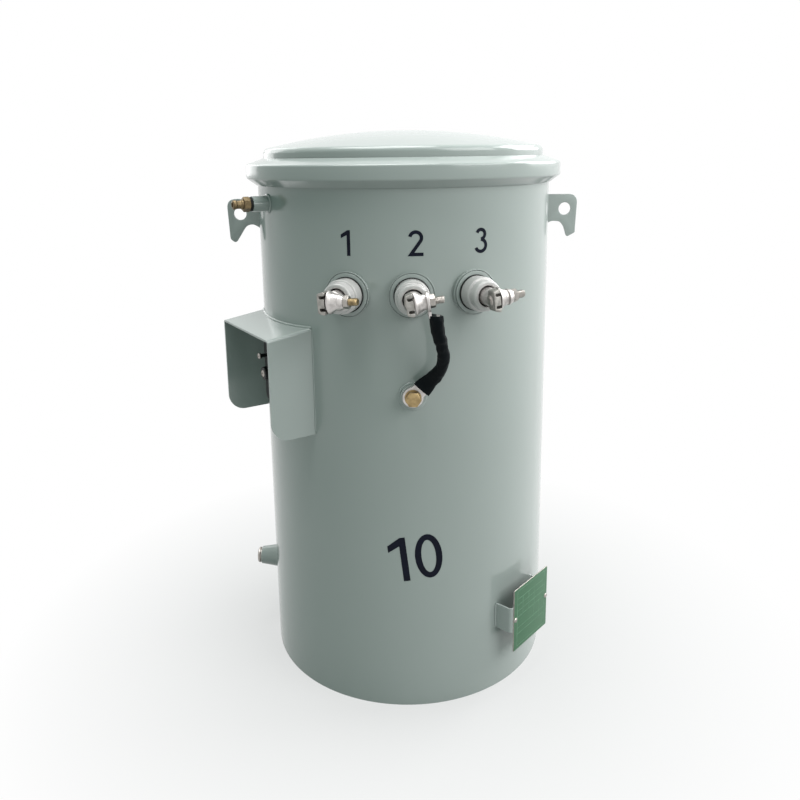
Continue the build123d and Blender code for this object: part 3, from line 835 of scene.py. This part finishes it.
def make_strap_lug(name, place, radius, neck, start, drop, barrel, hole):
    """A tinned cable lug: a flat palm, and a crimped barrel inside the sleeve."""
    first = -math.acos(neck / radius)
    turns = [first + (math.pi - 2 * first) * step / 40 for step in range(41)]
    palm = [Vector((radius * math.cos(turn), radius * math.sin(turn))) for turn in turns]
    outline = [*palm, Vector((-neck, -start)), Vector((-0.6 * neck, -drop))]
    outline += [Vector((0.6 * neck, -drop)), Vector((neck, -start))]
    shape = bmesh.new()
    add_plate(shape, place, [outline, circle(0.0, 0.0, hole)], 0.0, lug_thickness, 0.5)
    barrel_place = place @ shifted(0.0, 0.0, strap_lift) @ turned(90.0, "X")
    add_lathe(shape, barrel_place, ((barrel, start + 1.0), (barrel, drop)), count=32)
    make_stand_in(name, shape, "tinned_bronze")


def make_strap():
    """The sleeve and the lugs at both of its ends."""
    make_sleeve()
    make_strap_lug("bonding_lug_upper", strap_upper, strap_lug_radius, neck=6.2, start=upper_palm,
                   drop=upper_drop, barrel=5.6, hole=4.3)
    make_strap_lug("bonding_lug_lower", strap_lower, ground_lug_radius, neck=9.5, start=lower_palm,
                   drop=lower_drop + 5.0, barrel=4.2, hole=6.2)


def make_ground():
    """The bolt that holds the strap to the tank, its washer, and the weld of its pad."""
    place = outward(0.0, ground_height, ground_face)
    low, top = lug_thickness, lug_thickness + 1.9
    washer = ((6.2, low, 0), (10.4, low, 0.4), (10.4, top, 0.5), (6.2, top, 0))
    bolt = bmesh.new()
    add_lathe(bolt, place, rounded(washer), wrap=True)
    add_hex(bolt, place @ turned(26.0, "Z"), flats=17.5, start=top + 0.1, end=top + 8.0)
    make_stand_in("ground_bolt", bolt, "yellow_zinc")
    make_ring_weld("ground_pad_weld", 0.0, ground_height, radius=16.4, lift=0.6, width=2.0, seed=3.0)


def make_lifting_lugs():
    """Hooked plates with rounded edges, welded along both faces."""
    left = ((-0.5, 0.0, 0), (47.2, 0.0, 12.5), (44.6, -57.0, 6.0), (37.0, -63.2, 6.5), (21.0, -38.4, 20.0),
            (11.0, -35.8, 14.0), (-0.5, -43.0, 0))
    right = ((-0.5, 0.0, 0), (47.2, 0.0, 12.5), (44.7, -55.8, 2.4), (33.0, -62.0, 2.6), (28.2, -46.5, 14.0),
             (22.5, -39.2, 14.0), (10.0, -38.2, 14.0), (-0.5, -44.0, 0))
    hole = circle(29.0, -21.0, 9.0)
    low, high = lug_top - 43.0, lug_top + 0.5
    for name, side, corners in (("left", -1.0, left), ("right", 1.0, right)):
        axes = Matrix(((side, 0, 0), (0, 0, 1), (0, -side, 0))).transposed().to_4x4()
        place = shifted(side * tank_radius, 0.0, lug_top) @ axes
        plate = bmesh.new()
        add_plate(plate, place, [rounded(corners, steps=8), hole], -lug_half, lug_half, 0.7)
        make_stand_in("lifting_lug_" + name, plate, "tank_paint")
        make_line_welds("lug_weld_" + name, side * 90.0, lug_half + 0.6, low, high, lift=0.7, width=2.3)


def make_relief():
    """The pressure relief valve: a hexagon body with a turned stem, its seal, and its coupling's weld."""
    place = outward(relief_azimuth, relief_height)
    low = relief_seat - 3.0
    ring = ((6.5, low, 0), (9.2, low, 0.8), (9.2, relief_seat, 0.8), (6.5, relief_seat, 0))
    seal = bmesh.new()
    add_lathe(seal, place, rounded(ring), wrap=True, count=48)
    make_stand_in("relief_seal", seal, "gasket_rubber")
    stem = ((6.4, 8.5, 0), (6.4, 11.0, 0.6), (5.4, 12.0, 0.5), (5.4, 17.5, 0.5), (6.0, 18.5, 0.4),
            (6.0, 22.0, 1.0), (3.2, 23.0, 0.4), (3.2, 21.0, 0), (0.5, 21.0, 0))
    valve = bmesh.new()
    add_hex(valve, place, flats=17.0, start=relief_seat, end=relief_seat + 9.0, chamfers=(True, True))
    add_lathe(valve, place @ shifted(0.0, 0.0, relief_seat), rounded(stem, closed=False), count=40)
    make_stand_in("relief_valve", valve, "valve_brass")
    make_ring_weld("relief_weld", relief_azimuth, relief_height, radius=10.8, lift=0.6, width=2.2, seed=5.0)


def make_nameplate():
    """A metal plate with a green face, the lines of an empty table, two rivets, and its bracket's welds."""
    place = outward(plate_azimuth, plate_height, plate_seat)
    corners = ((1, 1), (-1, 1), (-1, -1), (1, -1))
    rim = rounded([(x * plate_half_width, y * plate_half_height, 1.5) for x, y in corners])
    sheet = bmesh.new()
    add_plate(sheet, place, [rim], 0.0, 1.3, 0.25)
    make_stand_in("nameplate", sheet, "plated_steel")
    half_width, half_height = plate_half_width - 0.5, plate_half_height - 0.5
    rim = rounded([(x * half_width, y * half_height, 1.3) for x, y in corners])
    face = bmesh.new()
    add_plate(face, place, [rim], 1.2, 1.5, 0.08)
    make_piece("nameplate_face", face, "plate_green")
    table = bmesh.new()
    side, base, crest, bevel = 35.0, 1.45, 1.56, 0.02
    for level in (42.0, 30.0, 21.0, 12.0, 3.0, -14.0, -23.0, -41.0):
        add_bar(table, place, (-side, level - 0.3, base), (side, level + 0.3, crest), bevel)
    columns = ((-side, -41.0, 42.0), (-21.0, 3.0, 30.0), (-6.0, 3.0, 30.0), (8.0, -23.0, 30.0),
               (21.0, -23.0, 3.0), (side, -41.0, 42.0))
    for across, low, high in columns:
        add_bar(table, place, (across - 0.4, low, base), (across + 0.4, high, crest), bevel)
    make_piece("nameplate_table", table, "table_lines")
    dome = ((3.4, 1.4), (3.3, 2.0), (2.7, 2.7), (1.6, 3.1), (0.6, 3.2))
    rivets = bmesh.new()
    for across in (-39.5, 39.5):
        add_lathe(rivets, place @ shifted(across, 1.0, 0.0), dome, count=24)
    make_piece("nameplate_rivets", rivets, "plated_steel")
    low, high = bracket_middle - bracket_half_height, bracket_middle + bracket_half_height
    make_line_welds("bracket_weld", plate_azimuth, bracket_weld_half, low, high, lift=0.6, width=1.6)


def hood_level(across):
    """The height of the hood's top where it meets the tank."""
    reach = math.sqrt(tank_radius ** 2 - across ** 2)
    return hood_top + hood_fall * (tank_radius - reach)


def make_hood_weld():
    """Beads along the hood's top and the outer faces of its cheeks."""
    weld = bmesh.new()
    count = 120
    line = []
    for step in range(count + 1):
        across = -hood_half + 2 * hood_half * step / count
        line.append(on_tank(hood_azimuth, across, hood_level(across) + 0.4, 0.6))
    add_bead(weld, line, width=1.9, closed=False, seed=1.0)
    for side in (-1.0, 1.0):
        line = line_on_tank(hood_azimuth, side * (hood_half + 0.5), hood_bottom + 2.0, hood_top - 2.0, 0.2)
        add_bead(weld, line, width=1.1, closed=False, seed=2.0 + side)
    make_piece("hood_weld", weld, "tank_paint")


def add_cross_screw(shape, place, radius, rise):
    """A pan head with a cross recess."""
    rings = []
    arm, half = 0.62 * radius, 0.16 * radius
    for share in (1.0, 0.98, 0.9, 0.8, 0.7, 0.6, 0.5, 0.4, 0.3, 0.2, 0.1, 0.04):
        ring = []
        for x, y in circle(0.0, 0.0, share * radius, 64):
            height = 0.0 if share == 1.0 else rise * (1 - share ** 4 * 0.6)
            if share < 1.0 and max(abs(x), abs(y)) < arm and min(abs(x), abs(y)) < half:
                height -= 0.55 * rise
            ring.append(place @ Vector((x, y, height)))
        rings.append(ring)
    add_skin(shape, rings)


def make_changer():
    """The tap changer's fluted knob, its pin, and the bright screws in both."""
    knob_place = outward(hood_azimuth, knob_level)
    top = changer_seat + 12.0
    profile = ((9.0, changer_seat, 0), (9.0, top, 1.6), (5.0, top, 0.6), (4.6, top - 0.8, 0))
    knob = bmesh.new()
    add_lathe(knob, knob_place, rounded(profile, closed=False), count=96, flute=0.06, flutes=16)
    make_stand_in("tap_changer_knob", knob, "changer_plastic")
    pin_place = outward(hood_azimuth, pin_level)
    collar = changer_seat + 14.0
    profile = ((2.5, changer_seat, 0), (2.5, collar, 0.4), (4.0, collar + 0.2, 0.4),
               (4.0, collar + 1.6, 0.4), (3.0, collar + 1.8, 0))
    pin = bmesh.new()
    add_lathe(pin, pin_place, rounded(profile, closed=False), count=32)
    make_stand_in("tap_changer_pin", pin, "changer_plastic")
    screws = bmesh.new()
    add_cross_screw(screws, knob_place @ shifted(0.0, 0.0, top - 1.1) @ turned(25.0, "Z"), 4.6, 3.0)
    add_cross_screw(screws, pin_place @ shifted(0.0, 0.0, collar + 1.6) @ turned(10.0, "Z"), 4.0, 2.6)
    make_piece("changer_screws", screws, "plated_steel")


def make_drain():
    """The drain's bare plug, with a groove under its domed head, and the bead round its coupling."""
    place = outward(drain_azimuth, drain_height, drain_seat)
    head = ((8.8, -16.0, 0), (8.8, 0.0, 0), (11.2, 0.0, 0.3), (11.2, 1.2, 0.3), (10.2, 1.5, 0.2),
            (10.2, 2.1, 0.2), (12.0, 2.5, 0.5), (12.0, 6.0, 3.0), (1.0, 6.0, 0))
    plug = bmesh.new()
    add_lathe(plug, place, rounded(head, closed=False), count=48)
    make_stand_in("drain_plug", plug, "plated_steel")
    make_ring_weld("drain_weld", drain_azimuth, drain_height, radius=18.4, lift=0.5, width=2.4, seed=9.0)


def make_band():
    """The rolled band that clamps the cover, open between two ears at the back, and its closing bolt."""
    corners = [(band_radius + reach, band_middle + rise, bend) for reach, rise, bend in band_line]
    section = ribbon(rounded(corners, False, 5), band_sheet)
    inner = band_opening / 2
    gap = math.degrees(math.asin(inner / band_radius))
    count = 240
    rings = []
    for step in range(count + 1):
        turn = math.radians(90.0 + gap + (360.0 - 2 * gap) * step / count)
        rings.append([Vector((x * math.cos(turn), x * math.sin(turn), z)) for x, z in section])
    band = bmesh.new()
    add_skin(band, rings)
    axes = Matrix(((0, 1, 0), (0, 0, 1), (1, 0, 0))).transposed().to_4x4()
    place = shifted(0.0, band_radius + band_bolt_offset, band_middle) @ axes
    outer = inner + band_ear_thickness
    ear = rounded(((-14.0, -11.0, 0), (12.0, -11.0, 4.0), (12.0, 11.0, 4.0), (-14.0, 11.0, 0)))
    for low in (-outer, inner):
        add_plate(band, place, [ear, circle(0.0, 0.0, 5.3)], low, low + band_ear_thickness, 0.6)
    make_stand_in("cover_band", band, "tank_paint")
    nut_end = outer + 7.0
    bolt = bmesh.new()
    add_lathe(bolt, place, ((5.0, -outer - 0.5), (5.0, outer + 0.5)), count=32)
    add_hex(bolt, place, flats=17.0, start=-nut_end, end=-outer, chamfers=(True, False))
    add_hex(bolt, place, flats=17.0, start=outer, end=nut_end, chamfers=(True, True))
    add_thread(bolt, place, radius=5.0, start=nut_end - 0.5, end=nut_end + 12.0, pitch=1.75, depth=0.7)
    make_stand_in("cover_band_bolt", bolt, "plated_steel")


def make_hanger_welds():
    """Beads along the outer faces of the pole hangers' legs."""
    for name, share in (("upper", 0.5), ("lower", -0.5)):
        level = hanger_middle + share * hanger_spacing
        low, high = level - hanger_half_height, level + hanger_half_height
        make_line_welds("hanger_weld_" + name, 180.0, hanger_half + 0.8, low, high, lift=0.7, width=2.8)


# The plain numbers, in shares of their height: a width, then outlines in groups of a rim and its holes
stroke = 0.135
one_corners = ((0.42, 0.0), (0.42, 1.0), (0.31, 1.0), (0.03, 0.83), (0.03, 0.68), (0.28, 0.81), (0.28, 0.0))
two_line = arc(0.30, 0.705, 0.225, 168, -38) + [Vector((0.115, 0.068)), Vector((0.60, 0.068))]
three_lines = (arc(0.27, 0.745, 0.185, 160, -90), arc(0.27, 0.305, 0.235, 90, -160))
numerals = {
    "0": (0.62, [[oval(0.31, 0.5, 0.29, 0.505), oval(0.31, 0.5, 0.155, 0.375)]]),
    "1": (0.44, [[[Vector(corner) for corner in one_corners]]]),
    "2": (0.62, [[ribbon(two_line, stroke)]]),
    "3": (0.60, [[ribbon(line, stroke)] for line in three_lines]),
}
numeral_gap = 0.12
paint_lift = 0.05
paint_depth = 0.15
paint_strip = 2.5
terminal_marks = (("1", -22.5), ("2", 1.6), ("3", 25.0))
terminal_mark_height = 31.0
terminal_mark_level = 629.5
rating_height = 62.0
rating_level = 219.0
rating_azimuth = 0.5
rating_tilt = 6.6


def make_mark(name, text, height, azimuth, level, tilt):
    """A plain number painted on the tank, cut into strips and wrapped round its wall."""
    shape = bmesh.new()
    whole = sum(numerals[numeral][0] + numeral_gap for numeral in text) - numeral_gap
    start = -whole / 2
    for numeral in text:
        width, groups = numerals[numeral]
        for lift, outlines in enumerate(groups):
            moved = [[height * (point + Vector((start, -0.5))) for point in outline] for outline in outlines]
            add_plate(shape, turned(tilt, "Z"), moved, 0.0, paint_depth + 0.02 * lift, 0.0)
        start += width + numeral_gap
    reach = max(abs(vertex.co.x) for vertex in shape.verts)
    cut = -reach
    while cut < reach:
        parts = shape.verts[:] + shape.edges[:] + shape.faces[:]
        bmesh.ops.bisect_plane(shape, geom=parts, dist=0.0001, plane_co=(cut, 0, 0), plane_no=(1, 0, 0))
        cut += paint_strip
    for vertex in shape.verts:
        x, y, z = vertex.co
        turn = azimuth + math.degrees(x / tank_radius)
        vertex.co = outward(turn, level + y, tank_radius + paint_lift + z).translation
    make_piece(name, shape, "mark_paint", sharp=20.0)


def make_marks():
    """Numbers over the three bushings, and a larger one low on the tank."""
    for text, azimuth in terminal_marks:
        make_mark("terminal_mark_" + text, text, terminal_mark_height, azimuth, terminal_mark_level, 0.0)
    make_mark("rating_mark", "10", rating_height, rating_azimuth, rating_level, rating_tilt)


make_bushings()
make_strap()
make_ground()
make_lifting_lugs()
make_relief()
make_nameplate()
make_hood_weld()
make_changer()
make_drain()
make_band()
make_hanger_welds()
make_marks()


def make_camera():
    """The photograph's camera, placed and turned as worked out from the picture."""
    data = bpy.data.cameras.new("camera")
    data.sensor_width = camera_sensor
    data.lens = camera_lens
    data.shift_y = camera_shift_y
    camera = bpy.data.objects.new("camera", data)
    bpy.context.scene.collection.objects.link(camera)
    yaw, pitch, roll = (math.radians(angle) for angle in (camera_yaw, camera_pitch, camera_roll))
    ahead = Vector((math.sin(yaw) * math.cos(pitch), math.cos(yaw) * math.cos(pitch), -math.sin(pitch)))
    level = Vector((math.cos(yaw), -math.sin(yaw), 0.0))
    above = level.cross(ahead)
    right = math.cos(roll) * level + math.sin(roll) * above
    up = math.cos(roll) * above - math.sin(roll) * level
    turn = Matrix((right, up, -ahead)).transposed().to_4x4()
    camera.matrix_world = Matrix.Translation(camera_place) @ turn
    bpy.context.scene.camera = camera


def add_lamp(name, place, target, size, power):
    """A soft rectangular lamp that looks at a point."""
    data = bpy.data.lights.new(name, "AREA")
    data.shape = "RECTANGLE"
    data.size, data.size_y = size
    data.energy = power
    lamp = bpy.data.objects.new(name, data)
    lamp.visible_camera = False
    bpy.context.scene.collection.objects.link(lamp)
    lamp.location = place
    lamp.rotation_euler = (Vector(target) - Vector(place)).to_track_quat("-Z", "Y").to_euler()


def make_world():
    """White where the camera, gloss and glass see it, and a softer tint as fill light."""
    world = bpy.data.worlds.new("studio")
    bpy.context.scene.world = world
    world.use_nodes = True
    tree = world.node_tree
    output = tree.nodes["World Output"]
    fill = tree.nodes["Background"]
    fill.inputs["Color"].default_value = (*fill_colour, 1.0)
    fill.inputs["Strength"].default_value = fill_strength
    white = tree.nodes.new("ShaderNodeBackground")
    white.inputs["Color"].default_value = (1.0, 1.0, 1.0, 1.0)
    white.inputs["Strength"].default_value = 1.0
    mix = tree.nodes.new("ShaderNodeMixShader")
    tree.links.new(add_seen(tree), mix.inputs["Fac"])
    tree.links.new(fill.outputs["Background"], mix.inputs[1])
    tree.links.new(white.outputs["Background"], mix.inputs[2])
    tree.links.new(mix.outputs["Shader"], output.inputs["Surface"])


def make_floor_piece():
    """The floor that the tank stands on."""
    mesh = bpy.data.meshes.new("floor")
    half = 6.0
    corners = [(-half, -half, 0), (half, -half, 0), (half, half, 0), (-half, half, 0)]
    mesh.from_pydata(corners, [], [(0, 1, 2, 3)])
    mesh.materials.append(make_floor())
    floor = bpy.data.objects.new("floor", mesh)
    bpy.context.scene.collection.objects.link(floor)


make_camera()
make_world()
make_floor_piece()

# Lamps: a place, a target and a size in metres, and a power in watts
part_middle = (0.0, 0.0, 0.38)
cover_front = (0.0, -0.1, 0.6)
add_lamp("front", (1.80, -1.40, 1.70), part_middle, (1.8, 1.8), 44.0)
add_lamp("side", (1.85, 0.75, 1.50), part_middle, (1.6, 1.6), 60.0)
add_lamp("rim", (-1.29, 1.53, 1.35), part_middle, (1.2, 1.6), 10.0)
add_lamp("top", (-0.3, -0.2, 2.7), cover_front, (1.6, 1.6), 54.0)

bpy.context.scene.view_settings.view_transform = "Standard"
